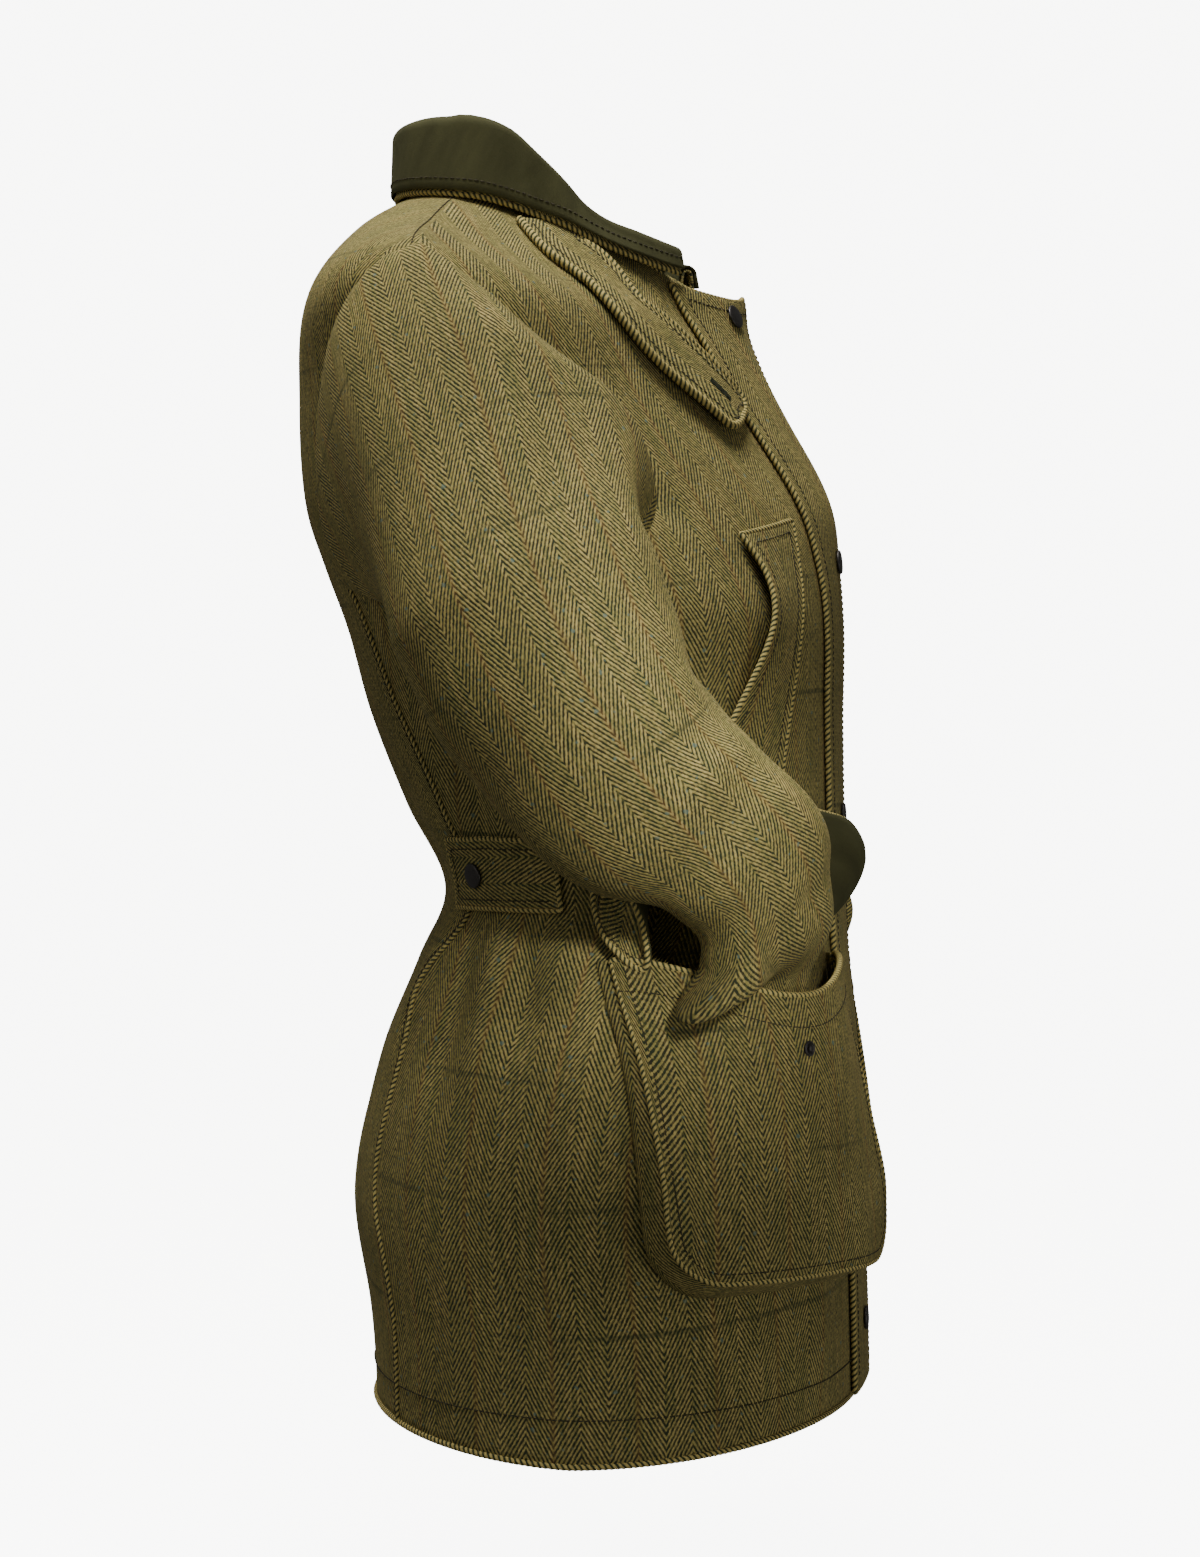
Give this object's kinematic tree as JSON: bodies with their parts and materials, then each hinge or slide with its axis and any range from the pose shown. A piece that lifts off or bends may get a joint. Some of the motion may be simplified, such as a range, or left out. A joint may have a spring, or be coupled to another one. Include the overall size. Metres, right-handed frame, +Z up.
{
  "type": "shooting jacket",
  "caption": "Hip-length tweed shooting jacket in its worn, hollow shape: moleskin collar, storm flap over the zip, throat tab, waist tabs, bellows pockets holding the cuffs.",
  "frame": {"origin": "middle of the neck base, where the jacket sits on the wearer", "axes": "+Z up along the wearer's spine, front of the jacket faces -Y, wearer's right is -X"},
  "size_m": [0.5956, 0.3517, 0.7627],
  "materials": {
    "tweed": "woven wool, herringbone with an overcheck",
    "moleskin": "brushed cotton with a short nap",
    "gunmetal": "dark metal, satin",
    "zip_plastic": "black moulded zip and tape"
  },
  "bodies": {
    "root": {"back_panel": "tweed", "front_right": "tweed", "front_left": "tweed", "sleeve_right": "tweed", "sleeve_left": "tweed", "collar_under": "tweed", "throat_tab": "tweed", "storm_flap": "tweed", "chest_pocket_right": "tweed", "chest_pocket_left": "tweed", "pocket_face_right": "tweed", "pocket_face_left": "tweed", "pocket_gusset_right": "tweed", "pocket_gusset_left": "tweed", "pocket_flap_right": "tweed", "pocket_flap_left": "tweed", "waist_tab_right": "tweed", "waist_tab_left": "tweed", "collar_top": "moleskin", "flap_lining_right": "moleskin", "flap_lining_left": "moleskin", "storm_stud_1": "gunmetal", "storm_stud_2": "gunmetal", "storm_stud_3": "gunmetal", "storm_stud_4": "gunmetal", "storm_stud_5": "gunmetal", "waist_stud_right": "gunmetal", "waist_stud_left": "gunmetal", "pocket_stud_right": "gunmetal", "pocket_stud_left": "gunmetal", "zip_tape_right": "zip_plastic", "zip_tape_left": "zip_plastic", "zip_slider": "zip_plastic"}
  },
  "joints": []
}
